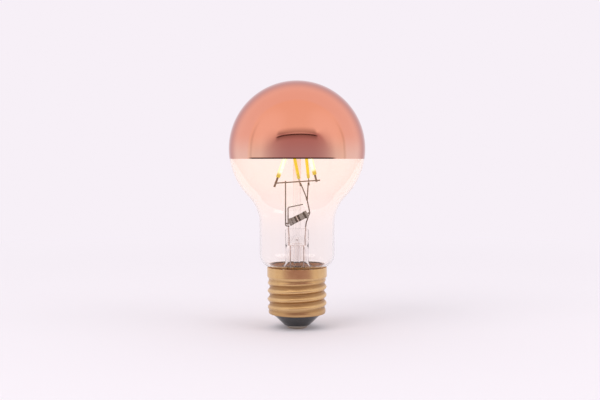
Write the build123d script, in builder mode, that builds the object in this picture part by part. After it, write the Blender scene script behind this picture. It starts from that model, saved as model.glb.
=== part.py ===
from build123d import *
from math import asin, atan2, cos, degrees, pi, radians, sin, sqrt, tan
import os

# LED filament bulb with a copper mirrored crown and a medium screw cap, in millimetres.
# The origin is the tip of the centre contact, and +Z runs along the bulb to its crown.
# -Y is the front, the side that the resistor faces.

# Glass bulb and its mirror
crown_radius = 30.0  # over the mirror
mirror_thickness = 0.1
mirror_gap = 0.05  # between the mirror and the glass
mirror_edge_drop = 4.3  # mirror's edge below the widest place of the bulb
glass_wall = 0.8
neck_radius = 16.5
neck_length = 13.6  # straight part of the neck
neck_curve_radius = 17.1  # hollow curve between the neck and the ball
shoulder_height = 5.6  # rounded lower end of the neck, above the cap

# Centre contact and insulator
contact_radius = 4.9
contact_height = 1.3
contact_flat_radius = 3.0
pin_radius = 1.3
pin_length = 3.7
insulator_ledge = 0.7  # insulator's foot beyond the contact
insulator_cone_height = 5.1
insulator_flange_height = 1.4
insulator_land = 2.2  # width of the rim that the board rests on
insulator_floor = 2.1  # thickness over the contact
insulator_well_radius = 3.0

# Screw shell
thread_radius = 13.1  # over the crests
thread_depth = 1.05
thread_pitch = 25.4 / 7
thread_length = 14.6
thread_runout = 2.7  # height over which the thread fades at each end
thread_sections_per_turn = 8
shell_wall = 0.45
collar_radius = 13.2  # plain collar above the thread
collar_height = 4.1
collar_step = 0.9  # height of the cone from the thread to the collar
lip_width = 0.6  # inward lip that holds the insulator
lip_height = 0.5
lip_drop = 1.0  # lip's lower face below the thread
lip_round = 0.65
cement_thickness = 0.45
cement_setback = 0.3  # cement's top below the shell's rim
seal_clearance = 0.3  # glass above the inside of the collar's cone

# Glass stem
stem_wall = 0.9
tube_radius = 5.1
tube_length = 5.9  # between the flare and the press
press_taper = 3.5  # height over which the tube is flattened
press_height = 4.0
press_width = 10.4
press_thickness = 3.9
post_radius = 1.76
post_round = 0.8
exhaust_length = 17.0  # below the press
exhaust_bore_radius = 1.0
exhaust_tip = 1.6  # closed end of the exhaust tube
exhaust_hole_radius = 0.8
exhaust_hole_rise = 2.3  # side hole above the press's bottom

# Wires
wire_radius = 0.27
wire_bend = 0.7
weld_gap = 0.05
wire_overrun = 0.4  # wire ends past a weld
lead_in_cover = 1.4  # middle of a lead-in from the press's edge
lead_in_bend_drop = 2.0  # bend below the press
lead_in_rise = 0.7  # above the press
left_lead_rise = 2.6  # upright foot of the left lead
right_lead_rise = 1.9  # foot of the right lead
fork_x = 4.5
fork_drop = 9.3  # fork below the filaments' lower ends
fork_lap = 2.0  # length of the weld between the two arms
bar_left_overrun = 0.6
bar_right_overrun = 1.7

# Resistor across the leads, and the brace that holds it to the post
resistor_length = 9.2
resistor_radius = 1.65
resistor_waist_radius = 1.5
resistor_cup_length = 1.7
resistor_round = 0.3
resistor_tilt = 27.0
resistor_x = 0.5
resistor_rise = 4.8  # middle above the press
resistor_lead_radius = 0.25
resistor_left_stub = 1.0
resistor_right_stub = 0.5
resistor_lead_bend = 0.4
brace_radius = 0.25
brace_bend = 0.8
brace_drop = 0.6  # brace's foot below the resistor's lead
brace_rise = 7.4  # brace's corner above that lead
brace_climb = 1.4
brace_overrun = 0.8  # past the post

# Filaments
cage_rise = 22.0  # mean height of the filaments' lower ends above the press
filament_length = 16.5
filament_width = 1.8
filament_thickness = 1.2
filament_round = 0.25
tab_width = 0.9
tab_thickness = 0.25
left_tab_length = 4.6  # lower tab of the left filament
lower_tab_length = 3.3  # lower tabs of the other filaments
weld_drop = 2.6  # weld below the filament's lower end
upper_tab_rise = 3.5  # mean height of the ring above the filaments
upper_tab_overrun = 0.7
ring_radius = 3.4
anchor_rise = 5.5  # ring above the post
anchor_depth = 3.0  # anchor wire's length in the post
anchor_angle = 160.0

# Lower end of each filament, its height against the mean, and the ring angle of its upper end
left_filament_x = -8.4
left_filament_rise = 0.5
left_filament_angle = 110.0
right_filament_x = 7.8
right_filament_rise = 1.7
right_filament_angle = -30.0
outer_filament_y = -2.6
front_filament_x = 0.8
front_filament_y = -6.0
front_filament_angle = 210.0
back_filament_x = 5.1
back_filament_y = 5.0
back_filament_angle = 40.0

# Supply in the cap
board_thickness = 1.0
board_clearance = 0.3
rectifier_length = 4.7
rectifier_width = 3.9
rectifier_height = 2.5
rectifier_inset = 5.0  # its middle from the board's edge
rectifier_angle = 125.0
rectifier_round = 0.25
capacitor_radius = 3.15
capacitor_height = 8.0
capacitor_inset = 1.3  # its side from the board's edge
capacitor_angle = -90.0
capacitor_round = 0.5
fuse_radius = 1.6
fuse_height = 6.5
fuse_inset = 1.6
fuse_angle = 50.0
fuse_round = 0.4
feed_inset = 1.6  # shell feed's foot from the shell's bore
feed_height = 2.6
feed_climb = 1.6
feed_run = 2.4  # length that lies on the shell

# Cap, from the contact up
lip_bottom = contact_height + insulator_cone_height
lip_top = lip_bottom + lip_height
insulator_top = lip_top + insulator_flange_height
board_top = insulator_top + board_thickness
thread_bottom = lip_bottom + lip_drop
thread_top = thread_bottom + thread_length
cap_height = thread_top + collar_step + collar_height
shell_bore = thread_radius - thread_depth - shell_wall
lip_radius = shell_bore - lip_width
thread_mean = thread_radius - thread_depth / 2
collar_bore = collar_radius - shell_wall
thread_bore = thread_mean - shell_wall
collar_lean = atan2(collar_radius - thread_mean, collar_step)
cone_bottom = thread_top + shell_wall * tan(collar_lean / 2)
cone_top = cone_bottom + collar_step
board_radius = shell_bore - board_clearance

# Glass, from its seal in the collar up
seal_radius = collar_bore - cement_thickness
seal_bottom = cone_top + seal_clearance
mirror_bore = crown_radius - mirror_thickness
glass_radius = mirror_bore - mirror_gap
neck_bottom = cap_height + shoulder_height
neck_top = neck_bottom + neck_length
shoulder_step = neck_radius - seal_radius
shoulder_curve = (shoulder_step**2 + shoulder_height**2) / (2 * shoulder_step)
curve_centre_r = neck_radius + neck_curve_radius
curve_reach = glass_radius + neck_curve_radius
curve_height = sqrt(curve_reach**2 - curve_centre_r**2)
ball_z = neck_top + curve_height
tangent_r = glass_radius * curve_centre_r / curve_reach
tangent_z = ball_z - glass_radius * curve_height / curve_reach

# Stem and what it carries
flare_radius = seal_radius - glass_wall
flare_curve = flare_radius - tube_radius
flare_top = seal_bottom + stem_wall + flare_curve
press_bottom = flare_top + tube_length
press_top = press_bottom + press_taper + press_height
lead_in_low_x = (post_radius + tube_radius - stem_wall) / 2
lead_in_top_x = press_width / 2 - lead_in_cover
lead_in_top = press_top + lead_in_rise
cage_z = press_top + cage_rise
ring_z = cage_z + filament_length + upper_tab_rise
post_top = ring_z - anchor_rise
outer_left = (left_filament_x, outer_filament_y, left_filament_rise, left_filament_angle)
outer_right = (right_filament_x, outer_filament_y, right_filament_rise, right_filament_angle)
front_middle = (front_filament_x, front_filament_y, 0, front_filament_angle)
back_middle = (back_filament_x, back_filament_y, 0, back_filament_angle)
weld_reach = tab_thickness / 2 + wire_radius + weld_gap
wire_pitch = 2 * wire_radius + weld_gap

os.makedirs("parts", exist_ok=True)


def straight_wire(start, end, radius):
    """Straight round wire between two points."""
    run = end - start
    with BuildPart() as wire:
        with BuildSketch(Plane(origin=start, z_dir=run)):
            Circle(radius)
        extrude(amount=run.length)
    return wire


def bent_wire(points, radius, bend):
    """Round wire along straight runs joined by bends."""
    with BuildPart() as wire:
        with BuildLine() as route:
            FilletPolyline(*points, radius=bend)
        with BuildSketch(Plane(origin=route.line @ 0, z_dir=route.line % 0)):
            Circle(radius)
        sweep()
    return wire


def keep(piece, name):
    """Label a finished piece and write it to its own file."""
    piece.part.label = name
    export_step(piece.part, f"parts/{name}.step")


# Glass envelope: one blown wall from the seal in the cap to the pole of the ball
with BuildPart() as glass_envelope:
    with BuildSketch(Plane.XZ):
        with BuildLine():
            seal = Line((seal_radius, seal_bottom), (seal_radius, cap_height))
            RadiusArc(seal @ 1, (neck_radius, neck_bottom), -shoulder_curve)
            neck = Line((neck_radius, neck_bottom), (neck_radius, neck_top))
            TangentArc(neck @ 1, (tangent_r, tangent_z), tangent=neck % 1)
            ThreePointArc(
                (tangent_r, tangent_z),
                (glass_radius, ball_z),
                (0, ball_z + glass_radius),
            )
            offset(amount=glass_wall, side=Side.LEFT)
        make_face()
    revolve(axis=Axis.Z)
keep(glass_envelope, "glass_envelope")

# Mirror skin over the crown, from its edge below the widest place to the pole
mirror_edge_angle = degrees(asin(mirror_edge_drop / mirror_bore))
with BuildPart() as crown_mirror:
    with BuildSketch(Plane.XZ):
        with BuildLine():
            CenterArc((0, ball_z), mirror_bore, -mirror_edge_angle, 90 + mirror_edge_angle)
            offset(amount=mirror_thickness, side=Side.RIGHT)
        make_face()
    revolve(axis=Axis.Z)
keep(crown_mirror, "crown_mirror")

# Lead-in wires from the board, through the press and just out of its top
lead_ins = {}
for side, name in ((-1, "left_lead_in"), (1, "right_lead_in")):
    foot = Vector(side * lead_in_low_x, 0, board_top + weld_gap)
    knee = Vector(side * lead_in_low_x, 0, press_bottom - lead_in_bend_drop)
    tip = Vector(side * lead_in_top_x, 0, lead_in_top)
    lead_ins[name] = bent_wire((foot, knee, tip), wire_radius, wire_bend)
    keep(lead_ins[name], name)

# Glass stem: flare and tube, flattened press, post above it and exhaust tube below it
with BuildPart() as glass_stem:
    with BuildSketch(Plane.XZ):
        with BuildLine():
            flare = RadiusArc(
                (flare_radius, seal_bottom + stem_wall),
                (tube_radius, flare_top),
                flare_curve,
            )
            Line(flare @ 1, (tube_radius, press_bottom))
            offset(amount=stem_wall, side=Side.LEFT)
        make_face()
    revolve(axis=Axis.Z)
    with BuildSketch(Plane.XY.offset(press_bottom)):
        Circle(tube_radius)
    with BuildSketch(Plane.XY.offset(press_bottom + press_taper)):
        Ellipse(press_width / 2, press_thickness / 2)
    loft()
    with BuildSketch(Plane.XY.offset(press_bottom + press_taper)):
        Ellipse(press_width / 2, press_thickness / 2)
    extrude(amount=press_height)
    with BuildSketch(Plane.XY.offset(press_top)):
        Circle(post_radius)
    extrude(amount=post_top - press_top)
    fillet(glass_stem.edges().sort_by(Axis.Z)[-1], post_round)
    with BuildSketch(Plane.XY.offset(press_bottom)):
        Circle(post_radius)
    extrude(amount=-exhaust_length)
    fillet(glass_stem.edges().sort_by(Axis.Z)[0], post_round)
    with BuildSketch(Plane.XY.offset(press_bottom + exhaust_hole_rise)):
        Circle(exhaust_bore_radius)
    extrude(amount=exhaust_tip - exhaust_length - exhaust_hole_rise, mode=Mode.SUBTRACT)
    with BuildSketch(Plane.XZ):
        with Locations((0, press_bottom + exhaust_hole_rise)):
            Circle(exhaust_hole_radius)
    extrude(amount=-press_width, mode=Mode.SUBTRACT)
    with BuildSketch(Plane.XY.offset(post_top - anchor_depth)):
        Circle(wire_radius)
    extrude(amount=anchor_depth, mode=Mode.SUBTRACT)
    for lead_in in lead_ins.values():
        add(lead_in.part, mode=Mode.SUBTRACT)
keep(glass_stem, "glass_stem")


def filament_line(place):
    """Lower end, direction and upper weld point of one filament."""
    x, y, rise, angle = place
    foot = Vector(x, y, cage_z + rise)
    outwards = Vector(cos(radians(angle)), sin(radians(angle)), 0)
    along_ring = Vector(-sin(radians(angle)), cos(radians(angle)), 0)
    on_ring = outwards * ring_radius + Vector(0, 0, ring_z)
    outside = along_ring.cross((on_ring - foot).normalized()).normalized()
    head = on_ring + outside * weld_reach
    return foot, (head - foot).normalized(), head, along_ring


def make_filament(number, place, wire_run, tab_length):
    """Filament with its two tabs, and the point where its lower tab is welded to its wire."""
    foot, along, head, along_ring = filament_line(place)
    flat = along.cross(wire_run).normalized()
    top = foot + along * filament_length
    with BuildPart() as filament:
        with BuildSketch(Plane(origin=foot, x_dir=flat.cross(along), z_dir=along)):
            SlotOverall(filament_width, filament_thickness)
        extrude(amount=filament_length)
        ends = filament.faces().filter_by(GeomType.PLANE).filter_by(Axis(foot, along))
        fillet(ends.edges(), filament_round)
    keep(filament, f"led_filament_{number}")
    with BuildPart() as lower_tab:
        with BuildSketch(Plane(origin=foot, x_dir=flat.cross(along), z_dir=-along)):
            Rectangle(tab_width, tab_thickness)
        extrude(amount=tab_length)
    keep(lower_tab, f"filament_{number}_lower_tab")
    with BuildPart() as upper_tab:
        ring_side = along.cross(along_ring.cross(along))
        with BuildSketch(Plane(origin=top, x_dir=ring_side, z_dir=along)):
            Rectangle(tab_width, tab_thickness)
        extrude(amount=(head - top).length + upper_tab_overrun)
    keep(upper_tab, f"filament_{number}_upper_tab")
    return foot - along * weld_drop + flat * weld_reach


# Outer filaments and the bar that carries their lower ends
left_foot = filament_line(outer_left)[0]
right_foot = filament_line(outer_right)[0]
bar_run = (right_foot - left_foot).normalized()
left_weld = make_filament(1, outer_left, bar_run, left_tab_length)
right_weld = make_filament(4, outer_right, bar_run, lower_tab_length)
bar_along = (right_weld - left_weld).normalized()
lower_bar_wire = straight_wire(
    left_weld - bar_along * bar_left_overrun,
    right_weld + bar_along * bar_right_overrun,
    wire_radius,
)
keep(lower_bar_wire, "lower_bar_wire")

# Middle filaments and the fork that carries their lower ends
fork = Vector(fork_x, 0, cage_z - fork_drop)
branch_fork = fork + Vector(0, wire_pitch, 0)
front_foot, front_along = filament_line(front_middle)[:2]
back_foot, back_along = filament_line(back_middle)[:2]
front_wire_run = front_foot - front_along * weld_drop - fork
back_wire_run = back_foot - back_along * weld_drop - branch_fork
front_weld = make_filament(2, front_middle, front_wire_run, lower_tab_length)
back_weld = make_filament(3, back_middle, back_wire_run, lower_tab_length)

# Resistor across the two leads, in front of the post
resistor_along = Vector(cos(radians(resistor_tilt)), 0, sin(radians(resistor_tilt)))
brace_y = -(post_radius + brace_radius + weld_gap)
resistor_y = brace_y - brace_radius - weld_gap - resistor_radius
resistor_middle = Vector(resistor_x, resistor_y, press_top + resistor_rise)
resistor_left = resistor_middle - resistor_along * (resistor_length / 2)
resistor_right = resistor_middle + resistor_along * (resistor_length / 2)
with BuildPart() as resistor_body:
    with BuildSketch(Plane(origin=resistor_left, x_dir=(0, 1, 0), z_dir=resistor_along)):
        Circle(resistor_radius)
    extrude(amount=resistor_cup_length)
    with BuildSketch(Plane(origin=resistor_right, x_dir=(0, 1, 0), z_dir=-resistor_along)):
        Circle(resistor_radius)
    extrude(amount=resistor_cup_length)
    fillet(resistor_body.edges().filter_by(GeomType.CIRCLE), resistor_round)
    waist_start = resistor_left + resistor_along * (resistor_cup_length / 2)
    with BuildSketch(Plane(origin=waist_start, x_dir=(0, 1, 0), z_dir=resistor_along)):
        Circle(resistor_waist_radius)
    extrude(amount=resistor_length - resistor_cup_length)
keep(resistor_body, "resistor_body")

# The resistor's own wires turn back to the leads beside them
lead_pitch = wire_radius + resistor_lead_radius + weld_gap
left_elbow = resistor_left - resistor_along * resistor_left_stub
right_elbow = resistor_right + resistor_along * resistor_right_stub
past_lead = Vector(0, wire_radius + wire_overrun, 0)
resistor_left_lead = bent_wire(
    (resistor_left, left_elbow, Vector(left_elbow.X, 0, left_elbow.Z) + past_lead),
    resistor_lead_radius,
    resistor_lead_bend,
)
keep(resistor_left_lead, "resistor_left_lead")
resistor_right_lead = bent_wire(
    (resistor_right, right_elbow, Vector(right_elbow.X, 0, right_elbow.Z) + past_lead),
    resistor_lead_radius,
    resistor_lead_bend,
)
keep(resistor_right_lead, "resistor_right_lead")

# Brace from the resistor's left wire, up and across the front of the post
brace_x = left_elbow.X + resistor_lead_radius + brace_radius + weld_gap
brace_wire = bent_wire(
    (
        Vector(brace_x, brace_y, left_elbow.Z - brace_drop),
        Vector(brace_x, brace_y, left_elbow.Z + brace_rise),
        Vector(post_radius + brace_overrun, brace_y, left_elbow.Z + brace_rise + brace_climb),
    ),
    brace_radius,
    brace_bend,
)
keep(brace_wire, "brace_wire")

# Left lead: from the top of its lead-in, up behind the bar
left_lead_x = left_elbow.X - lead_pitch
left_foot_z = lead_in_top + wire_radius + weld_gap
left_knee = Vector(left_lead_x, 0, left_foot_z + left_lead_rise)
bar_point = left_weld + bar_along * ((left_lead_x - left_weld.X) / bar_along.X)
bar_pass = bar_point + Vector(0, wire_pitch, 0)
left_lead_run = (bar_pass - left_knee).normalized()
left_lead_wire = bent_wire(
    (
        Vector(wire_overrun - lead_in_top_x, 0, left_foot_z),
        Vector(left_lead_x, 0, left_foot_z),
        left_knee,
        bar_pass + left_lead_run * (wire_radius + wire_overrun),
    ),
    wire_radius,
    wire_bend,
)
keep(left_lead_wire, "left_lead_wire")

# Right lead: past the resistor's right wire, then on as the fork's front arm
right_foot_point = Vector(lead_in_top_x, 0, lead_in_top + weld_gap)
right_lead_x = right_elbow.X + lead_pitch
front_run = (front_weld - fork).normalized()
right_lead_wire = bent_wire(
    (
        right_foot_point,
        Vector(lead_in_top_x + wire_radius, 0, right_foot_point.Z + right_lead_rise),
        Vector(right_lead_x, 0, right_elbow.Z),
        fork,
        front_weld + front_run * (wire_radius + wire_overrun),
    ),
    wire_radius,
    wire_bend,
)
keep(right_lead_wire, "right_lead_wire")

# Back arm of the fork, welded behind the right lead
back_run = (back_weld - branch_fork).normalized()
lean = (fork - Vector(right_lead_x, 0, right_elbow.Z)).normalized()
right_branch_wire = bent_wire(
    (
        branch_fork - lean * fork_lap,
        branch_fork,
        back_weld + back_run * (wire_radius + wire_overrun),
    ),
    wire_radius,
    wire_bend,
)
keep(right_branch_wire, "right_branch_wire")

# Ring that joins the filaments' upper ends, and the anchor wire that carries it
with BuildPart() as top_ring_wire:
    with BuildSketch(Plane.XZ):
        with Locations((ring_radius, ring_z)):
            Circle(wire_radius)
    revolve(axis=Axis.Z)
keep(top_ring_wire, "top_ring_wire")

anchor_reach = ring_radius - wire_radius - weld_gap
anchor_out = Vector(cos(radians(anchor_angle)), sin(radians(anchor_angle)), 0)
top_anchor_wire = bent_wire(
    (
        Vector(0, 0, post_top - anchor_depth),
        Vector(0, 0, ring_z),
        anchor_out * anchor_reach + Vector(0, 0, ring_z),
    ),
    wire_radius,
    wire_bend,
)
keep(top_anchor_wire, "top_anchor_wire")

# Screw shell: each level of the rolled thread is a circle whose centre winds round the axis
thread_height = thread_top - thread_bottom
thread_levels = round(thread_height / thread_pitch * thread_sections_per_turn)
with BuildPart() as cap_shell:
    for level in range(thread_levels + 1):
        height = thread_height * level / thread_levels
        fade = min(1, height / thread_runout, (thread_height - height) / thread_runout)
        turn = 2 * pi * height / thread_pitch
        offset_r = thread_depth / 2 * fade
        with BuildSketch(Plane.XY.offset(thread_bottom + height)):
            with Locations((offset_r * cos(turn), offset_r * sin(turn))):
                Circle(thread_mean)
    loft()
    with BuildSketch(Plane.XZ):
        Polygon(
            (0, thread_top),
            (thread_mean, thread_top),
            (collar_radius, thread_top + collar_step),
            (collar_radius, cap_height),
            (0, cap_height),
            align=None,
        )
        lip = Polygon(
            (0, thread_bottom),
            (thread_mean, thread_bottom),
            (thread_mean, lip_bottom),
            (0, lip_bottom),
            align=None,
        )
        fillet(lip.vertices().sort_by(Axis.Y)[:2].sort_by(Axis.X)[-1], lip_round)
    revolve(axis=Axis.Z)
    with BuildSketch(Plane.XZ):
        Polygon(
            (0, lip_bottom),
            (lip_radius, lip_bottom),
            (lip_radius, lip_top),
            (shell_bore, lip_top),
            (shell_bore, cone_bottom - thread_depth / 2),
            (thread_bore, cone_bottom),
            (collar_bore, cone_top),
            (collar_bore, cap_height),
            (0, cap_height),
            align=None,
        )
    revolve(axis=Axis.Z, mode=Mode.SUBTRACT)
keep(cap_shell, "cap_shell")

# Cement between the shell's collar and the glass
with BuildPart() as cap_cement:
    with BuildSketch(Plane.XY.offset(seal_bottom)):
        Circle(collar_bore)
        Circle(seal_radius, mode=Mode.SUBTRACT)
    extrude(amount=cap_height - cement_setback - seal_bottom)
keep(cap_cement, "cap_cement")

# Insulator: a cone below the lip, a flange on it, and a well inside for the contact's pin
with BuildPart() as cap_insulator:
    with BuildSketch(Plane.XZ):
        Polygon(
            (pin_radius, contact_height),
            (contact_radius + insulator_ledge, contact_height),
            (lip_radius, lip_bottom),
            (lip_radius, lip_top),
            (shell_bore, lip_top),
            (shell_bore, insulator_top),
            (shell_bore - insulator_land, insulator_top),
            (shell_bore - insulator_land, lip_top),
            (insulator_well_radius, contact_height + insulator_floor),
            (pin_radius, contact_height + insulator_floor),
            align=None,
        )
    revolve(axis=Axis.Z)
keep(cap_insulator, "cap_insulator")

# Centre contact: a domed head and the pin that goes through the insulator
with BuildPart() as centre_contact:
    with BuildSketch(Plane.XZ):
        with BuildLine():
            tip = Line((0, 0), (contact_flat_radius, 0))
            dome = TangentArc(tip @ 1, (contact_radius, contact_height), tangent=tip % 1)
            Polyline(
                dome @ 1,
                (pin_radius, contact_height),
                (pin_radius, contact_height + pin_length),
                (0, contact_height + pin_length),
                (0, 0),
            )
        make_face()
    revolve(axis=Axis.Z)
keep(centre_contact, "centre_contact")

# Board on the insulator's rim, and the pieces of the supply that stand on it
with BuildPart() as driver_board:
    with BuildSketch(Plane.XY.offset(insulator_top)):
        Circle(board_radius)
    extrude(amount=board_thickness)
keep(driver_board, "driver_board")

with BuildPart() as bridge_rectifier:
    with BuildSketch(Plane.XY.offset(board_top)):
        with PolarLocations(board_radius - rectifier_inset, 1, rectifier_angle, rotate=False):
            Rectangle(rectifier_length, rectifier_width)
    extrude(amount=rectifier_height)
    fillet(bridge_rectifier.faces().sort_by(Axis.Z)[-1].edges(), rectifier_round)
keep(bridge_rectifier, "bridge_rectifier")

with BuildPart() as smoothing_capacitor:
    with BuildSketch(Plane.XY.offset(board_top)):
        with PolarLocations(board_radius - capacitor_inset - capacitor_radius, 1, capacitor_angle):
            Circle(capacitor_radius)
    extrude(amount=capacitor_height)
    fillet(smoothing_capacitor.edges().filter_by(GeomType.CIRCLE), capacitor_round)
keep(smoothing_capacitor, "smoothing_capacitor")

with BuildPart() as fuse_resistor:
    with BuildSketch(Plane.XY.offset(board_top)):
        with PolarLocations(board_radius - fuse_inset - fuse_radius, 1, fuse_angle):
            Circle(fuse_radius)
    extrude(amount=fuse_height)
    fillet(fuse_resistor.edges().filter_by(GeomType.CIRCLE), fuse_round)
keep(fuse_resistor, "fuse_resistor")

# Feed wires from the board to the contact's pin and to the shell
contact_feed_wire = straight_wire(
    Vector(0, 0, contact_height + pin_length + weld_gap),
    Vector(0, 0, insulator_top - weld_gap),
    wire_radius,
)
keep(contact_feed_wire, "contact_feed_wire")

feed_foot = Vector(feed_inset - shell_bore, 0, board_top + weld_gap)
feed_wall_x = wire_radius + weld_gap - shell_bore
shell_feed_wire = bent_wire(
    (
        feed_foot,
        feed_foot + Vector(0, 0, feed_height),
        Vector(feed_wall_x, 0, feed_foot.Z + feed_height + feed_climb),
        Vector(feed_wall_x, 0, feed_foot.Z + feed_height + feed_climb + feed_run),
    ),
    wire_radius,
    wire_bend,
)
keep(shell_feed_wire, "shell_feed_wire")
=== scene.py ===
"""Looks of a crown mirror LED filament bulb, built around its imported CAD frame, in metres."""

import math

import bmesh
import bpy
from bpy.props import FloatProperty, FloatVectorProperty, IntProperty, PointerProperty
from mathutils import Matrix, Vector


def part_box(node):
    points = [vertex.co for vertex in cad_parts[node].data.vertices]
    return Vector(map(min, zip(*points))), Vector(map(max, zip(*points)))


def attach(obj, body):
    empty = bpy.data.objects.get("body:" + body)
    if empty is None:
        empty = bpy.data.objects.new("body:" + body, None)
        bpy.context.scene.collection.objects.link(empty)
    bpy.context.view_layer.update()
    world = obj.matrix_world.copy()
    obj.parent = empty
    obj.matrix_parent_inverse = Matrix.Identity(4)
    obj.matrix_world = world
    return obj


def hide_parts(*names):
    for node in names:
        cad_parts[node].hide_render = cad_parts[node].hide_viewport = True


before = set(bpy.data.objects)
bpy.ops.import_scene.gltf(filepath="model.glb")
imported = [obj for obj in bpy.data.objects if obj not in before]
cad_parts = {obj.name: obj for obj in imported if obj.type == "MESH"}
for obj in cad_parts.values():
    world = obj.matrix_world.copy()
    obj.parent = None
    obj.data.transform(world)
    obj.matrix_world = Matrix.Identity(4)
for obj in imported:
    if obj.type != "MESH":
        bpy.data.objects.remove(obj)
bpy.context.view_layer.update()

bl_info = {
    "name": "Crown Mirror LED Bulb",
    "version": (1, 0, 0),
    "blender": (4, 5, 0),
    "location": "View3D > Sidebar > Bulb",
    "description": "Dresses the CAD pieces of a crown mirror LED filament bulb",
    "category": "Object",
}

BODY = "root"
MM_PER_M = 1000.0
SHARP_ANGLE = math.radians(35)
PHOTO_SIZE = (600, 400)
WHITE = (1.0, 1.0, 1.0)
BLACK = (0.0, 0.0, 0.0)

GLASS_LOW, GLASS_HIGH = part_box("glass_envelope")
MIRROR_LOW, MIRROR_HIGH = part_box("crown_mirror")
STEM_LOW, STEM_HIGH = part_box("glass_stem")
SHELL_LOW, SHELL_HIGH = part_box("cap_shell")
INSULATOR_LOW, INSULATOR_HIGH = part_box("cap_insulator")
CONTACT_LOW, CONTACT_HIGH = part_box("centre_contact")
RESISTOR_LOW, RESISTOR_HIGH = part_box("resistor_body")

BRIGHT_FILAMENTS = ("led_filament_1", "led_filament_4")
YELLOW_FILAMENTS = ("led_filament_2", "led_filament_3")
FILAMENT_TABS = tuple(
    f"filament_{number}_{end}_tab" for number in (1, 2, 3, 4) for end in ("lower", "upper")
)
LEAD_INS = ("left_lead_in", "right_lead_in")
WIRES = (
    "left_lead_wire",
    "right_lead_wire",
    "right_branch_wire",
    "lower_bar_wire",
    "brace_wire",
    "top_ring_wire",
    "top_anchor_wire",
    "resistor_left_lead",
    "resistor_right_lead",
    "contact_feed_wire",
    "shell_feed_wire",
)
# Bands round the resistor: middle, end of the full colour and end of the band, as shares of its length
DARK_BANDS = ((-0.112, 0.0425, 0.055), (0.04, 0.0459, 0.0594), (0.345, 0.0476, 0.0616))
FAINT_BAND = (-0.31, 0.03, 0.045)
# Painted highlight strip between the two middle dark bands, in the same columns as the bands
HIGHLIGHT_BAND = (-0.036, 0.02, 0.03)
# Way from the axis to the front stretch of the painted dark reflection line at the mirror's edge, one of
# three
REFLECTION_LINE_FACING = (-0.087, -0.996, 0.0)
# Supply in the cap: node, finish, dark and pale colour, roughness, grains a millimetre and coat
SUPPLY = (
    ("driver_board", "board", (0.02, 0.12, 0.05), (0.04, 0.18, 0.08), 0.35, 1.2, 0.4),
    ("bridge_rectifier", "rectifier_black", (0.012, 0.012, 0.013), (0.03, 0.03, 0.032), 0.5, 4.0, 0.0),
    ("smoothing_capacitor", "capacitor_can", (0.03, 0.03, 0.05), (0.06, 0.06, 0.09), 0.3, 0.8, 0.3),
    ("fuse_resistor", "fuse_coat", (0.2, 0.3, 0.2), (0.3, 0.42, 0.3), 0.4, 2.0, 0.2),
)
# Lamps: name, place, size and power
LAMPS = (("key_lamp", (-0.9, -0.8, 1.2), 1.0, 7.0), ("fill_lamp", (1.1, -0.5, 0.9), 0.9, 3.5))


# Sizes and colours that a user would change


def length(name, description, default):
    """Length property in metres."""
    return FloatProperty(
        name=name, description=description, default=default, min=0.0, unit="LENGTH", precision=5
    )


def colour(name, description, default):
    """Linear colour property."""
    return FloatVectorProperty(
        name=name, description=description, default=default, size=3, min=0.0, max=1.0, subtype="COLOR"
    )


def number(name, description, default, lowest=0.0, highest=1000.0):
    """Plain number property."""
    return FloatProperty(name=name, description=description, default=default, min=lowest, max=highest)


class GlassSettings(bpy.types.PropertyGroup):
    """Clear blown glass"""

    wall: length("Wall", "Thickness of the blown glass", 0.0008)
    seal_radius: length("Seal radius", "Radius of the glass inside the cap", 0.0123)
    neck_radius: length("Neck radius", "Radius of the straight neck", 0.0165)
    neck_length: length("Neck length", "Length of the straight neck", 0.0136)
    neck_curve: length("Neck curve", "Radius of the hollow curve between neck and ball", 0.0171)
    shoulder_height: length("Shoulder height", "Height of the rounded shoulder above the cap", 0.0056)
    # Glow low, glow high and glow paint the filaments' light into the glass as emission
    glow_low: length("Glow low", "Height at which the glow in the glass begins", 0.036)
    glow_high: length("Glow high", "Height from which the glow in the glass is full", 0.07)
    # The tint is warm partly to stand in for warm light and reflections in the glass, painted into its colour
    tint: colour("Tint", "Colour of the clear glass", (1.0, 0.965, 0.935))
    glow: colour("Glow", "Light of the filaments caught by the glass", (0.055, 0.026, 0.004))
    refraction: number("Refraction", "Index of refraction of the glass", 1.5, 1.0, 2.0)


class MirrorSettings(bpy.types.PropertyGroup):
    """Copper mirror over the crown"""

    thickness: length("Thickness", "Thickness of the mirror skin", 0.0001)
    copper: colour("Copper", "Colour of the mirror", (0.88, 0.35, 0.22))
    # Edge copper and hem copper make the mirror paler over set heights above its lower edge
    edge_copper: colour("Edge copper", "Colour of the thinner coat near its edge", (0.88, 0.41, 0.29))
    hem_copper: colour("Hem copper", "Colour of the thinnest coat at its edge", (0.86, 0.53, 0.41))
    # Rim copper is a painted darker reflection where the mirror is seen at a glancing angle
    rim_shade_copper: colour("Rim copper", "Colour of the mirror at a glancing angle", (0.5, 0.155, 0.112))
    # Edge line and its height give a painted dark reflection along the mirror's lower edge, in three
    # stretches
    edge_reflection_line: colour("Edge line", "Colour of the thin line where the coat ends", (0.075, 0.02, 0.014))
    reflection_line_height: length("Line height", "Height of the thin line where the coat ends", 0.0006)
    fade_height: length("Fade height", "Height over which the coat thins towards its edge", 0.03)
    hem_height: length("Hem height", "Height of the thinnest coat at its edge", 0.011)


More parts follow.
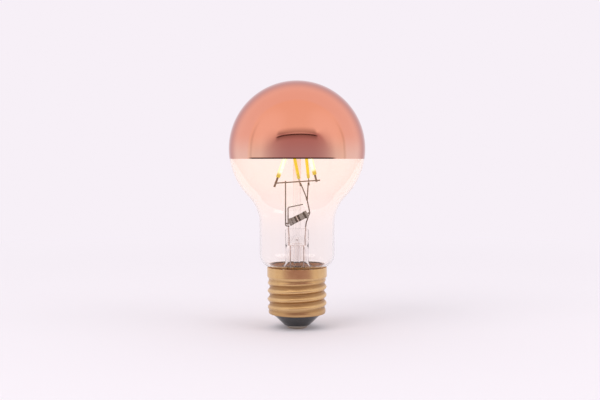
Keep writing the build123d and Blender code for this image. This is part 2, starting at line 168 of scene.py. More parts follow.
class StemSettings(bpy.types.PropertyGroup):
    """Drawn glass stem"""

    wall: length("Wall", "Thickness of the stem tube", 0.0009)
    tube_radius: length("Tube radius", "Radius of the stem tube", 0.0051)
    flare_radius: length("Flare radius", "Radius of the flare where it joins the bulb", 0.0115)
    tube_length: length("Tube length", "Straight tube between the flare and the press", 0.0059)
    press_taper: length("Press taper", "Height over which the tube is flattened", 0.0035)
    taper_ease: length("Taper ease", "How far the taper runs out into the press", 0.001)
    tube_ease: length("Tube ease", "How far the taper runs out into the tube", 0.0015)
    press_height: length("Press height", "Height of the flattened press", 0.004)
    press_width: length("Press width", "Width of the flattened press", 0.0104)
    press_thickness: length("Press thickness", "Thickness of the flattened press", 0.0039)
    press_round: length("Press round", "Rounding of the press at its top", 0.0009)
    post_radius: length("Post radius", "Radius of the post and of the exhaust tube", 0.00176)
    post_round: length("Post round", "Rounding of the far ends of the post and of the exhaust tube", 0.0008)
    post_foot: length("Post foot", "Straight end of the post above the press", 0.0006)
    bore_radius: length("Bore radius", "Radius of the exhaust tube's bore", 0.001)
    hole_radius: length("Hole radius", "Radius of the exhaust hole in the press", 0.0008)
    hole_rise: length("Hole rise", "Exhaust hole above the bottom of the press", 0.0023)
    tip: length("Tip", "Closed end of the exhaust tube", 0.0016)
    roof_height: length("Roof height", "Height over which the tube closes onto the exhaust tube", 0.0034)
    tint: colour("Tint", "Colour of the stem glass", (1.0, 0.985, 0.975))
    # Edge tint is painted grey shade of the stem glass seen edge on, also used for its painted grey streaks
    edge_shade_tint: colour("Edge tint", "Colour of the stem glass seen edge on", (0.72, 0.69, 0.71))
    # Lit tint is the filaments' warm light painted onto the post between them
    filament_light_tint: colour("Lit tint", "Colour of the post between the filaments", (1.0, 0.78, 0.66))
    lit_low: length("Lit low", "Height at which the lit colour of the post begins", 0.058)
    lit_high: length("Lit high", "Height from which the lit colour of the post is full", 0.076)
    refraction: number("Refraction", "Index of refraction of the stem glass", 1.25, 1.0, 2.0)


class CapSettings(bpy.types.PropertyGroup):
    """Screw cap with its insulator, contact and cement"""

    thread_radius: length("Thread radius", "Radius over the crests of the thread", 0.0131)
    thread_depth: length("Thread depth", "Depth of the rolled thread", 0.00105)
    thread_pitch: length("Thread pitch", "Rise of one turn of the thread", 0.0254 / 7)
    thread_length: length("Thread length", "Height of the thread", 0.0146)
    thread_runout: length("Thread runout", "Height over which the thread fades", 0.0027)
    collar_step: length("Collar step", "Height of the cone under the collar", 0.0009)
    wall: length("Wall", "Thickness of the shell", 0.00045)
    lip_width: length("Lip width", "Width of the inward lip", 0.0006)
    lip_height: length("Lip height", "Thickness of the inward lip", 0.0005)
    lip_drop: length("Lip drop", "Lip below the thread", 0.001)
    foot_round: length("Foot round", "Rounding of the shell's foot", 0.00065)
    collar_round: length("Collar round", "Rounding of the collar above its cone", 0.0004)
    rim_round: length("Rim round", "Rounding of the collar's rim", 0.00012)
    cone_radius: length("Cone radius", "Radius of the insulator's lower end", 0.0056)
    flange_wall: length("Flange wall", "Thickness of the insulator's flange", 0.0022)
    well_radius: length("Well radius", "Radius of the insulator's well", 0.003)
    well_floor: length("Well floor", "Thickness of the insulator under its well", 0.0021)
    pin_radius: length("Pin radius", "Radius of the contact's pin", 0.0013)
    contact_flat: length("Contact flat", "Radius of the flat middle of the contact", 0.003)
    brass: colour("Brass", "Colour of the shell", (0.78, 0.53, 0.26))
    tarnish: colour("Tarnish", "Colour in the valleys of the thread", (0.43, 0.25, 0.11))
    black: colour("Insulator", "Colour of the insulator", (0.012, 0.011, 0.012))
    tin: colour("Tin", "Colour of the tinned contact", (0.52, 0.47, 0.4))
    pale_tin: colour("Pale tin", "Colour of the contact's scuffs", (0.7, 0.66, 0.6))
    bare_brass: colour("Bare brass", "Colour of the contact's worn tip", (0.72, 0.5, 0.26))
    cement: colour("Cement", "Colour of the cement", (0.42, 0.125, 0.012))
    pale_cement: colour("Pale cement", "Colour of the cement's pale grains", (0.58, 0.21, 0.03))


class FilamentSettings(bpy.types.PropertyGroup):
    """Filaments, wires and resistor"""

    bright: colour("Bright", "Light of the two outer filaments", (1.0, 0.96, 0.86))
    bright_fringe: colour("Bright fringe", "Light along the sides of the outer filaments", (0.95, 0.81, 0.5))
    bright_strength: number("Bright strength", "Strength of the two outer filaments", 1.25)
    yellow: colour("Yellow", "Light of the two middle filaments", (0.57, 0.44, 0.0))
    yellow_fringe: colour("Yellow fringe", "Light along the sides of the middle filaments", (0.54, 0.41, 0.0))
    yellow_strength: number("Yellow strength", "Strength of the two middle filaments", 1.05)
    fringe_inside: length("Fringe inside", "Distance from the axis at which the fringe begins", 0.00068)
    fringe_outside: length("Fringe outside", "Distance from the axis at which the fringe is full", 0.00088)
    dim: colour("Dim", "Light of the lower ends", (0.36, 0.3, 0.02))
    dim_low: length("Dim low", "Length of the dim lower end", 0.001)
    dim_high: length("Dim high", "Length from which a filament is fully lit", 0.0029)
    phosphor: colour("Phosphor", "Colour of the phosphor coat", (0.42, 0.27, 0.005))
    pale_phosphor: colour("Pale phosphor", "Colour of the coat's lumps", (0.5, 0.33, 0.015))
    wire: colour("Wire", "Colour of the lead wires", (0.155, 0.118, 0.104))
    sealed_wire: colour("Sealed wire", "Colour of the copper clad wires in the press", (0.72, 0.61, 0.58))
    tab: colour("Tab", "Colour of the filaments' tabs", (0.15, 0.115, 0.1))
    resistor_length: length("Resistor length", "Length of the resistor's body", 0.0092)
    resistor_tilt: FloatProperty(
        name="Resistor tilt", description="Rise of the resistor", default=math.radians(27), subtype="ANGLE"
    )
    resistor: colour("Resistor", "Colour of the resistor's coat", (0.235, 0.207, 0.19))
    band: colour("Band", "Colour of the resistor's dark bands", (0.008, 0.003, 0.002))
    # Pale band is a painted highlight strip between the middle bands
    highlight_band: colour("Pale band", "Colour of the resistor's pale band", (0.6, 0.46, 0.41))


class StageSettings(bpy.types.PropertyGroup):
    """Floor, light, camera and the studio that the mirror reflects"""

    background: colour("Background", "Colour of the floor and of what lies behind", (0.93, 0.87, 0.93))
    floor_radius: length("Floor radius", "Radius of the floor", 6.0)
    camera_distance: length("Camera distance", "Camera from the bulb's axis", 0.409)
    camera_side: length("Camera side", "Camera to the right of the bulb's axis", 0.0013)
    camera_lens: number("Lens", "Focal length in millimetres", 55.7, 1.0)
    crown_row: IntProperty(
        name="Crown row", description="Picture row of the widest place of the bulb", default=149, min=0
    )
    light_level: number("Light level", "Strength of the surrounding light", 0.8)
    front: colour("Front", "Studio in front of the bulb", (0.95, 0.84, 0.8))
    window: colour("Window", "Bright upper sides of the studio", (1.0, 0.93, 0.94))
    wall: colour("Wall", "Wall of the studio under an arch", (0.72, 0.66, 0.72))
    dusk: colour("Dusk", "Dim lower part of the studio", (0.47, 0.3, 0.345))
    seam: colour("Seam", "Upright seam at each side of the studio", (0.3, 0.25, 0.25))
    bar_shade: colour("Bar shade", "Shade round the dark bar", (0.25, 0.165, 0.175))
    bar: colour("Bar", "Dark bar of the studio", (0.08, 0.04, 0.04))
    dusk_height: number("Dusk height", "Rise of the top of the dim part, 1 being straight up", 0.42)
    dusk_shift: number("Dusk shift", "Place of the middle of the dim part to the right", 0.1)
    bar_height: number("Bar height", "Rise of the dark bar, 1 being straight up", 0.408)
    bar_shift: number("Bar shift", "Place of the bar's highest point to the right", 0.077)
    bar_droop: number("Bar droop", "How much the bar hangs towards its ends", 0.16)
    bar_reach: number("Bar reach", "How far the bar reaches to each side", 0.6)


# Shader expressions


class Signal:
    """Output of a shader node. Arithmetic on it adds Math nodes."""

    def __init__(self, finish, socket):
        self.finish = finish
        self.socket = socket

    def __add__(self, other):
        return self.finish.math("ADD", self, other)

    __radd__ = __add__

    def __sub__(self, other):
        return self.finish.math("SUBTRACT", self, other)

    def __rsub__(self, other):
        return self.finish.math("SUBTRACT", other, self)

    def __mul__(self, other):
        return self.finish.math("MULTIPLY", self, other)

    __rmul__ = __mul__

    def __truediv__(self, other):
        return self.finish.math("DIVIDE", self, other)

    def __rtruediv__(self, other):
        return self.finish.math("DIVIDE", other, self)

    def __abs__(self):
        return self.finish.math("ABSOLUTE", self)


class Finish:
    """Shader nodes of one material or of the world."""

    def __init__(self, owner):
        self.owner = owner
        owner.use_nodes = True
        self.tree = owner.node_tree
        self.tree.nodes.clear()

    def node(self, kind, settings=None, inputs=None, output=0):
        """Add a node: its settings first, then the values or links of its sockets."""
        made = self.tree.nodes.new(kind)
        for key, value in (settings or {}).items():
            setattr(made, key, value)
        for key, value in (inputs or {}).items():
            if isinstance(value, Signal):
                self.tree.links.new(value.socket, made.inputs[key])
            else:
                made.inputs[key].default_value = value
        return Signal(self, made.outputs[output]) if len(made.outputs) else made

    def math(self, operation, *values):
        """Math node on one or two values."""
        return self.node("ShaderNodeMath", {"operation": operation}, dict(enumerate(values)))

    def mix(self, factor, first, second):
        """Blend of two colours."""
        colours = [value if isinstance(value, Signal) else (*value, 1.0) for value in (first, second)]
        return self.node(
            "ShaderNodeMix",
            {"data_type": "RGBA"},
            {0: factor, 6: colours[0], 7: colours[1]},
            output=2,
        )

    def place(self):
        """Place on the object, in millimetres of the bulb's own frame."""
        metres = self.node("ShaderNodeTexCoord", output="Object")
        return self.stretch(metres, (MM_PER_M, MM_PER_M, MM_PER_M))

    def vector(self, operation, *values, output="Vector"):
        """Vector Math node on one or two vectors."""
        return self.node("ShaderNodeVectorMath", {"operation": operation}, dict(enumerate(values)), output)

    def split(self, vector):
        """The three coordinates of a vector."""
        parts = self.node("ShaderNodeSeparateXYZ", inputs={0: vector})
        return [Signal(self, socket) for socket in parts.socket.node.outputs]

    def stretch(self, vector, scale):
        """Vector with each coordinate times its own scale."""
        return self.vector("MULTIPLY", vector, scale)

    def along(self, vector, direction):
        """Length of a vector along a direction."""
        return self.vector("DOT_PRODUCT", vector, direction, output="Value")

    def noise(self, vector, scale, detail=3.0, roughness=0.5):
        """Soft noise from 0 to 1, with about scale grains a millimetre."""
        return self.node(
            "ShaderNodeTexNoise",
            inputs={"Vector": vector, "Scale": scale, "Detail": detail, "Roughness": roughness},
        )

    def rise(self, value, low, high):
        """Smooth step from 0 at low to 1 at high."""
        return self.node(
            "ShaderNodeMapRange",
            {"interpolation_type": "SMOOTHSTEP"},
            {"Value": value, "From Min": low, "From Max": high},
        )

    def fall(self, value, low, high):
        """Smooth step from 1 at low to 0 at high."""
        return 1 - self.rise(value, low, high)

    def band(self, value, middle, core, reach):
        """1 within a core on both sides of a middle, 0 beyond its reach."""
        return self.fall(abs(value - middle), core, reach)

    def edge_on(self, low, high):
        """0 where the surface faces the eye, 1 where it is seen edge on."""
        return self.rise(self.node("ShaderNodeLayerWeight", output="Facing"), low, high)

    def bump(self, height, strength, distance):
        """Normal from a height."""
        return self.node(
            "ShaderNodeBump", inputs={"Height": height, "Strength": strength, "Distance": distance}
        )

    def surface(self, **inputs):
        """Principled shader on the material's output. Socket names have underscores for spaces."""
        named = {}
        for key, value in inputs.items():
            is_colour = not isinstance(value, Signal) and hasattr(value, "__len__")
            named[key.replace("_", " ")] = (*value, 1.0) if is_colour else value
        shader = self.node("ShaderNodeBsdfPrincipled", inputs=named)
        self.node("ShaderNodeOutputMaterial", inputs={"Surface": shader})
        return self.owner


def new_finish(name):
    """Empty finish on a new material."""
    return Finish(bpy.data.materials.new(name))


# Finishes of the bulb


def clear_glass_finish(glass):
    """Clear blown glass with a trace of smudges, a warm tint that also stands in for warm reflections, and a
    painted glow of the filaments' light in its upper part.
    """
    finish = new_finish("clear_glass")
    place = finish.place()
    smudge = finish.rise(finish.noise(place, 0.09, 4.0), 0.5, 0.75)
    streak = finish.noise(finish.stretch(place, (1.0, 1.0, 0.25)), 0.3, 2.0)
    height = finish.split(place)[2]
    near = finish.rise(height, glass.glow_low * MM_PER_M, glass.glow_high * MM_PER_M)
    return finish.surface(
        # Streaks of the warm tint, partly a painted warm cast
        Base_Color=finish.mix(0.7 + streak * 0.3, WHITE, glass.tint),
        Roughness=smudge * 0.015,
        # Painted glow of the filaments' light in the upper glass, which is no lamp
        Emission_Color=finish.mix(near, BLACK, glass.glow),
        Emission_Strength=1.0,
        Transmission_Weight=1.0,
        IOR=glass.refraction,
    )


def stem_glass_finish(stem):
    """Drawn glass with painted grey shade where it is seen edge on, painted grey streaks of shade along the
    draw, and painted warm light of the filaments on the post.
    """
    finish = new_finish("stem_glass")
    place = finish.place()
    lines = finish.noise(finish.stretch(place, (1.0, 1.0, 0.03)), 0.8, 2.0)
    streak = finish.rise(lines, 0.54, 0.68)
    height = finish.split(place)[2]
    # Painted warm light of the filaments on the post
    lit = finish.rise(height, stem.lit_low * MM_PER_M, stem.lit_high * MM_PER_M)
    warm = finish.mix(lit, stem.tint, stem.filament_light_tint)
    # Painted grey shade where the glass is seen edge on, and painted grey streaks along the draw
    edge = finish.edge_on(0.3, 0.95)
    return finish.surface(
        Base_Color=finish.mix(edge * 0.65 + streak * 0.45, warm, stem.edge_shade_tint),
        Roughness=lines * 0.02,
        Transmission_Weight=1.0,
        IOR=stem.refraction,
    )


def copper_mirror_finish(mirror):
    """Copper mirror, paler towards its lower edge, with a painted darker reflection at a glancing angle and a
    painted dark reflection line in stretches along its lower edge, under a clear lacquer.
    """
    finish = new_finish("copper_mirror")
    place = finish.place()
    over_edge = finish.split(place)[2] - MIRROR_LOW.z * MM_PER_M
    # Paler towards the lower edge, over the fade height and the hem height
    edge = finish.fall(over_edge, 0.0, mirror.fade_height * MM_PER_M)
    cloud = finish.noise(place, 0.08, 2.0)
    grain = finish.noise(place, 3.0, 4.0)
    copper = finish.mix(edge * 0.7 + cloud * 0.2, mirror.copper, mirror.edge_copper)
    hem = finish.fall(over_edge, 0.0, mirror.hem_height * MM_PER_M)
    copper = finish.mix(hem, copper, mirror.hem_copper)
    # Painted darker reflection where the mirror is seen at a glancing angle
    copper = finish.mix(finish.edge_on(0.5, 0.78), copper, mirror.rim_shade_copper)
    # Painted dark reflection line along the lower edge, in three stretches round the axis, with no lacquer on
    # it
    turn = finish.along(place, REFLECTION_LINE_FACING) / (MIRROR_HIGH.x * MM_PER_M)
    three_turns = turn * (turn * turn * 4 - 3)
    line_top = mirror.reflection_line_height * MM_PER_M
    line = finish.rise(three_turns, -0.5, -0.2) * finish.fall(over_edge, line_top * 0.7, line_top * 1.1)
    return finish.surface(
        Base_Color=finish.mix(line, copper, mirror.edge_reflection_line),
        Metallic=1.0,
        Roughness=0.035 + grain * 0.03,
        Coat_Weight=0.12 - line * 0.12,
        Coat_Roughness=0.03,
        Normal=finish.bump(cloud, 0.02, 0.0005),
    )


def phosphor_finish(name, node, filament, light, fringe, strength):
    """Lit phosphor coat of one filament: lumpy, dim at its lower end, with the faint beat of its chips."""
    finish = new_finish(name)
    place = finish.place()
    foot, along = rod_axis(node)
    offset = finish.vector("SUBTRACT", place, foot)
    run = finish.along(offset, along)
    off_axis = finish.math("SQRT", finish.along(offset, offset) - run * run)
    lumps = finish.noise(place, 1.6, 3.0)
    chips = finish.noise(finish.stretch(place, (0.2, 0.2, 1.0)), 1.7, 1.0)
    deep = tuple(value * share for value, share in zip(light, (0.96, 0.92, 0.82)))
    lit = finish.mix(finish.rise(chips, 0.3, 0.7), deep, light)
    side = finish.rise(off_axis, filament.fringe_inside * MM_PER_M, filament.fringe_outside * MM_PER_M)
    lit = finish.mix(side, lit, fringe)
    dim = tuple(value / strength for value in filament.dim)
    end = finish.fall(run, filament.dim_low * MM_PER_M, filament.dim_high * MM_PER_M)
    return finish.surface(
        Base_Color=finish.mix(lumps, filament.phosphor, filament.pale_phosphor),
        Roughness=0.55 + lumps * 0.2,
        Specular_IOR_Level=0.1,
        Emission_Color=finish.mix(end, lit, dim),
        Emission_Strength=strength,
        Normal=finish.bump(lumps, 0.3, 0.0002),
    )


def rod_axis(node):
    """Lower end of a straight rod and the direction to its upper end, in millimetres."""
    corners = sorted((corner.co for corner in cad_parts[node].data.vertices), key=lambda co: co.z)
    quarter = len(corners) // 4
    low = sum(corners[:quarter], Vector()) / quarter * MM_PER_M
    high = sum(corners[-quarter:], Vector()) / quarter * MM_PER_M
    along = (high - low).normalized()
    foot = low - along * ((low.z - corners[0].z * MM_PER_M) / along.z)
    return foot, along


def wire_finish(name, metal):
    """Drawn nickel wire with fine lines and brown heat tint."""
    finish = new_finish(name)
    place = finish.place()
    tint = finish.rise(finish.noise(place, 0.35, 2.0), 0.4, 0.7)
    lines = finish.noise(finish.stretch(place, (9.0, 9.0, 0.6)), 1.0, 3.0)
    brown = tuple(value * share for value, share in zip(metal, (0.75, 0.58, 0.45)))
    return finish.surface(
        Base_Color=finish.mix(tint * 0.7, metal, brown),
        Metallic=1.0,
        Roughness=0.28 + lines * 0.22,
        Normal=finish.bump(lines, 0.15, 0.00005),
    )


def resistor_finish(filament):
    """Grey lacquered resistor with dark bands and a painted highlight strip round it between the two middle
    bands.
    """
    finish = new_finish("resistor_coat")
    place = finish.place()
    direction = Vector((math.cos(filament.resistor_tilt), 0.0, math.sin(filament.resistor_tilt)))
    middle = (RESISTOR_LOW + RESISTOR_HIGH) / 2 * MM_PER_M
    run = (finish.along(place, direction) - middle.dot(direction)) / (filament.resistor_length * MM_PER_M)
    bands = finish.band(run, *FAINT_BAND) * 0.45
    for band in DARK_BANDS:
        bands = bands + finish.band(run, *band)
    speck = finish.noise(place, 2.5, 4.0)
    pale = tuple(value * 1.25 for value in filament.resistor)
    coat = finish.mix(speck, filament.resistor, pale)
    # Painted highlight strip between the two middle bands
    coat = finish.mix(finish.band(run, *HIGHLIGHT_BAND), coat, filament.highlight_band)
    return finish.surface(
        Base_Color=finish.mix(bands, coat, filament.band),
        Roughness=0.5 + speck * 0.2,
        Specular_IOR_Level=0.15,
        Normal=finish.bump(speck, 0.15, 0.0001),
    )


def brass_finish(cap):
    """Rolled brass with turning lines, brighter crests and tarnished valleys."""
    finish = new_finish("cap_brass")
    place = finish.place()
    radius = finish.vector("LENGTH", finish.stretch(place, (1.0, 1.0, 0.0)), output="Value")
    root = (cap.thread_radius - cap.thread_depth) * MM_PER_M
    crest = finish.rise(radius, root + 0.1, cap.thread_radius * MM_PER_M - 0.15)
    cloud = finish.noise(place, 0.22, 4.0, 0.6)
    lines = finish.noise(finish.stretch(place, (0.15, 0.15, 14.0)), 1.0, 2.0)
    worn = crest * (0.55 + cloud * 0.6)
    return finish.surface(
        Base_Color=finish.mix(worn, cap.tarnish, cap.brass),
        Metallic=1.0,
        Roughness=0.3 - crest * 0.13 + cloud * 0.12,
        Normal=finish.bump(lines, 0.12, 0.00005),
    )


def insulator_finish(cap):
    """Black glass insulator, glossy, with faint flow marks."""
    finish = new_finish("insulator_black")
    place = finish.place()
    flow = finish.noise(finish.stretch(place, (1.0, 1.0, 3.0)), 0.4, 4.0)
    lift = tuple(value + 0.02 for value in cap.black)
    return finish.surface(
        Base_Color=finish.mix(flow, cap.black, lift),
        Roughness=0.1 + flow * 0.18,
        Coat_Weight=0.4,
        Normal=finish.bump(flow, 0.25, 0.0002),
    )


def contact_finish(cap):
    """Tinned brass contact, worn to bare brass at its tip."""
    finish = new_finish("contact_brass")
    place = finish.place()
    worn = finish.fall(finish.split(place)[2], 0.1, 0.7)
    scuffs = finish.noise(finish.stretch(place, (1.0, 5.0, 1.0)), 1.1, 5.0, 0.65)
    tin = finish.mix(scuffs, cap.tin, cap.pale_tin)
    return finish.surface(
        Base_Color=finish.mix(worn * scuffs, tin, cap.bare_brass),
        Metallic=1.0,
        Roughness=0.3 + scuffs * 0.25,
        Normal=finish.bump(scuffs, 0.2, 0.0001),
    )


def grained_finish(name, dark, pale, roughness, grain, coat=0.0):
    """Plain moulded, fired or lacquered surface with a fine grain."""
    finish = new_finish(name)
    place = finish.place()
    specks = finish.noise(place, grain, 5.0, 0.6)
    return finish.surface(
        Base_Color=finish.mix(specks, dark, pale),
        Roughness=roughness + specks * 0.2,
        Coat_Weight=coat,
        Normal=finish.bump(specks, 0.2, 0.0001),
    )


# Mesh making


def arc(centre, radius, start, end, steps):
    """Points of an arc in the (r, z) plane, with angles in degrees."""
    points = []
    for step in range(steps + 1):
        angle = math.radians(start + (end - start) * step / steps)
        points.append((centre[0] + radius * math.cos(angle), centre[1] + radius * math.sin(angle)))
    return points


def soften(corners, steps=6):
    """Outline whose corners (r, z, round) are rounded by that radius."""
    points = []
    last = len(corners) - 1
    for index, (r, z, round_radius) in enumerate(corners):
        if round_radius == 0 or index in (0, last):
            points.append((r, z))
            continue
        here = Vector((r, z))
        back = (Vector(corners[index - 1][:2]) - here).normalized()
        ahead = (Vector(corners[index + 1][:2]) - here).normalized()
        half = back.angle(ahead) / 2
        reach = round_radius / math.tan(half)
        start = here + back * reach
        end = here + ahead * reach
        for step in range(steps + 1):
            share = step / steps
            point = (1 - share) ** 2 * start + 2 * share * (1 - share) * here + share**2 * end
            points.append(tuple(point))
    return points


def ring_mesh(name, rings, segments, closed=False):
    """Mesh through rings, each a function of the angle or a point on the axis. Closed joins the ends."""
    mesh = bmesh.new()
    loops = []
    for ring in rings:
        if not callable(ring):
            loops.append([mesh.verts.new((0.0, 0.0, ring))])
            continue
        loops.append([mesh.verts.new(ring(2 * math.pi * step / segments)) for step in range(segments)])
    following = loops[1:] + (loops[:1] if closed else [])
    for low, high in zip(loops, following):
        for step in range(segments):
            after = (step + 1) % segments
            if len(low) == 1:
                mesh.faces.new((low[0], high[step], high[after]))
            elif len(high) == 1:
                mesh.faces.new((low[step], low[after], high[0]))
            else:
                mesh.faces.new((low[step], low[after], high[after], high[step]))
    bmesh.ops.recalc_face_normals(mesh, faces=mesh.faces)
    data = bpy.data.meshes.new(name)
    mesh.to_mesh(data)
    mesh.free()
    smooth(data)
    piece = bpy.data.objects.new(name, data)
    bpy.context.scene.collection.objects.link(piece)
    return piece


def smooth(data):
    """Shade a mesh smooth apart from its sharp edges."""
    data.shade_smooth()
    data.set_sharp_from_angle(angle=SHARP_ANGLE)


def round_ring(radius, height):
    """Ring of a lathe: a circle, or a point on the axis."""
    if radius < 1e-7:
        return height
    return lambda angle: (radius * math.cos(angle), radius * math.sin(angle), height)


def turned(outline):
    """Rings of a lathe through (r, z) points."""
    return [round_ring(r, z) for r, z in outline]


def lathe(name, outline, segments, closed=False):
    """Solid turned from (r, z) points that run from axis to axis, or close on themselves off the axis."""
    return ring_mesh(name, turned(outline), segments, closed)


def seat(piece, material, slot, *nodes):
    """Give a new piece its finish and let it stand for its CAD nodes."""
    piece.data.materials.append(material)
    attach(piece, BODY)
    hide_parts(*nodes)
    return piece


def dress(material, *nodes):
    """Give CAD nodes a finish."""
    for name in nodes:
        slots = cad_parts[name].data.materials
        slots.clear()
        slots.append(material)


def let_light_through(piece):
    """Clear glass neither shades what it holds nor takes part in soft light."""
    piece.visible_shadow = False
    piece.visible_diffuse = False


def glass_outline(glass, inset):
    """Outline of the bulb's glass from its seal to its pole, set in from the outside by some depth."""
    ball_radius = GLASS_HIGH.x
    ball_z = GLASS_HIGH.z - ball_radius
    rim = SHELL_HIGH.z
    neck_bottom = rim + glass.shoulder_height
    neck_top = neck_bottom + glass.neck_length
    step = glass.neck_radius - glass.seal_radius
    shoulder = (step**2 + glass.shoulder_height**2) / (2 * step)
    shoulder_centre = (glass.neck_radius - shoulder, neck_bottom)
    seal = glass.seal_radius - inset
    shoulder_start = -math.degrees(math.acos((seal - shoulder_centre[0]) / (shoulder - inset)))
    curve_centre = (glass.neck_radius + glass.neck_curve, neck_top)
    tangent = math.degrees(math.atan2(ball_z - curve_centre[1], curve_centre[0]))
    points = [(seal, GLASS_LOW.z)]
    points += arc(shoulder_centre, shoulder - inset, shoulder_start, 0, 16)
    points += arc(curve_centre, glass.neck_curve + inset, 180, 180 - tangent, 24)
    points += arc((0.0, ball_z), ball_radius - inset, -tangent, 90, 90)[1:]
    points[-1] = (0.0, GLASS_HIGH.z - inset)
    return points


class BULB_OT_glass_envelope(bpy.types.Operator):
    """Blow the clear bulb"""

    bl_idname = "bulb.glass_envelope"
    bl_label = "Glass envelope"

    def execute(self, context):
        glass = context.scene.bulb_glass
        outline = glass_outline(glass, 0.0)[::-1] + glass_outline(glass, glass.wall)
        piece = lathe("blown_glass", outline, 192)
        seat(piece, clear_glass_finish(glass), "clear_glass", "glass_envelope")
        let_light_through(piece)
        return {"FINISHED"}


class BULB_OT_crown_mirror(bpy.types.Operator):
    """Coat the crown with its copper mirror"""

    bl_idname = "bulb.crown_mirror"
    bl_label = "Crown mirror"

    def execute(self, context):
        mirror = context.scene.bulb_mirror
        radius = MIRROR_HIGH.x
        ball_z = MIRROR_HIGH.z - radius
        edge = math.degrees(math.asin((MIRROR_LOW.z - ball_z) / (radius - mirror.thickness)))
        outside = arc((0.0, ball_z), radius, 90, edge, 80)
        inside = arc((0.0, ball_z), radius - mirror.thickness, edge, 90, 80)
        outside[0] = (0.0, MIRROR_HIGH.z)
        inside[-1] = (0.0, MIRROR_HIGH.z - mirror.thickness)
        piece = lathe("copper_crown", outside + inside, 192)
        seat(piece, copper_mirror_finish(mirror), "copper_mirror", "crown_mirror")
        return {"FINISHED"}


class BULB_OT_glass_stem(bpy.types.Operator):
    """Draw the glass stem with its flare, press, post and exhaust tube"""

    bl_idname = "bulb.glass_stem"
    bl_label = "Glass stem"

    def execute(self, context):
        stem = context.scene.bulb_stem
        piece = self.stem_body(stem)
        press_bottom = self.press_bottom(stem)
        hole_z = press_bottom + stem.hole_rise
        bore = lathe(
            "exhaust_bore",
            [(0.0, hole_z + stem.hole_radius)]
            + arc((0.0, hole_z), stem.bore_radius, 60, 0, 4)
            + [(stem.bore_radius, STEM_LOW.z + stem.tip), (0.0, STEM_LOW.z + stem.tip)],
            32,
        )
        depth = stem.press_width
        drill = [(0.0, depth), (stem.hole_radius, depth), (stem.hole_radius, 0.0), (0.0, 0.0)]
        hole = lathe("exhaust_hole", drill, 22)
        for corner in hole.data.vertices:
            x, y, z = corner.co
            corner.co = (x, z, hole_z - y)
        self.cut(piece, bore)
        self.cut(piece, hole)
        seat(piece, stem_glass_finish(stem), "clear_glass", "glass_stem")
        let_light_through(piece)
        return {"FINISHED"}

    def press_bottom(self, stem):
        """Height at which the tube begins to flatten."""
        flare_curve = stem.flare_radius - stem.tube_radius
        return GLASS_LOW.z + stem.wall + flare_curve + stem.tube_length

    def stem_body(self, stem):
        """Closed glass body through rings from the post's top to the exhaust tube's tip."""
        flare_curve = stem.flare_radius - stem.tube_radius
        flare_centre = (stem.flare_radius, GLASS_LOW.z + stem.wall + flare_curve)
        press_bottom = self.press_bottom(stem)
        press_foot = press_bottom + stem.press_taper
        press_top = press_foot + stem.press_height
        half_width = stem.press_width / 2
        half_thickness = stem.press_thickness / 2
        post_end = (stem.post_radius, STEM_HIGH.z, stem.post_round)
        post = soften([(0.0, STEM_HIGH.z, 0), post_end, (stem.post_radius, press_top, 0)])
        rings = turned(post[:-1])
        rings.append(round_ring(stem.post_radius, press_top + stem.post_foot))
        for step in range(9):
            angle = math.pi / 2 * step / 8
            reach = 1 - math.cos(angle)
            width = stem.post_radius + (half_width - stem.post_radius) * math.sin(angle) ** 0.6
            thick = stem.post_radius + (half_thickness - stem.post_radius) * math.sin(angle)
            rings.append(self.oval(width, thick, press_top - stem.press_round * reach))
        taper_top = press_foot + stem.taper_ease
        taper = stem.press_taper + stem.taper_ease + stem.tube_ease
        for step in range(25):
            share = step / 24
            blend = (share + share * share * (3 - 2 * share)) / 2
            width = half_width + (stem.tube_radius - half_width) * blend
            thick = half_thickness + (stem.tube_radius - half_thickness) * blend
            rings.append(self.oval(width, thick, taper_top - taper * share))
        rings += turned(arc(flare_centre, flare_curve, 180, 270, 20))
        rings += turned(arc(flare_centre, flare_curve + stem.wall, 270, 180, 20))
        bore = stem.tube_radius - stem.wall
        rings.append(round_ring(bore, press_bottom - stem.roof_height))
        meniscus = (bore - stem.post_radius) / 2
        roof = (stem.post_radius + meniscus, press_bottom - stem.roof_height)
        for step in range(1, 24):
            angle = math.pi * step / 24
            r = roof[0] + meniscus * math.cos(angle)
            rings.append(round_ring(r, roof[1] + stem.roof_height * math.sin(angle)))
        exhaust_end = (stem.post_radius, STEM_LOW.z, stem.post_round)
        tip = soften([(stem.post_radius, roof[1], 0), exhaust_end, (0.0, STEM_LOW.z, 0)])
        return ring_mesh("drawn_stem", rings + turned(tip), 96)

    def oval(self, half_width, half_thickness, height):
        """Elliptical ring."""
        return lambda angle: (half_width * math.cos(angle), half_thickness * math.sin(angle), height)

    def cut(self, piece, tool):
        """Cut a tool's shape out of a piece, for good."""
        modifier = piece.modifiers.new("cut", "BOOLEAN")
        modifier.object = tool
        modifier.operation = "DIFFERENCE"
        modifier.solver = "EXACT"
        depsgraph = bpy.context.evaluated_depsgraph_get()
        carved = bpy.data.meshes.new_from_object(piece.evaluated_get(depsgraph))
        if len(carved.vertices) in (0, len(piece.data.vertices)):
            raise RuntimeError(f"{tool.name} cut nothing out of {piece.name}")
        piece.modifiers.clear()
        piece.data = carved
        smooth(carved)
        bpy.data.objects.remove(tool)


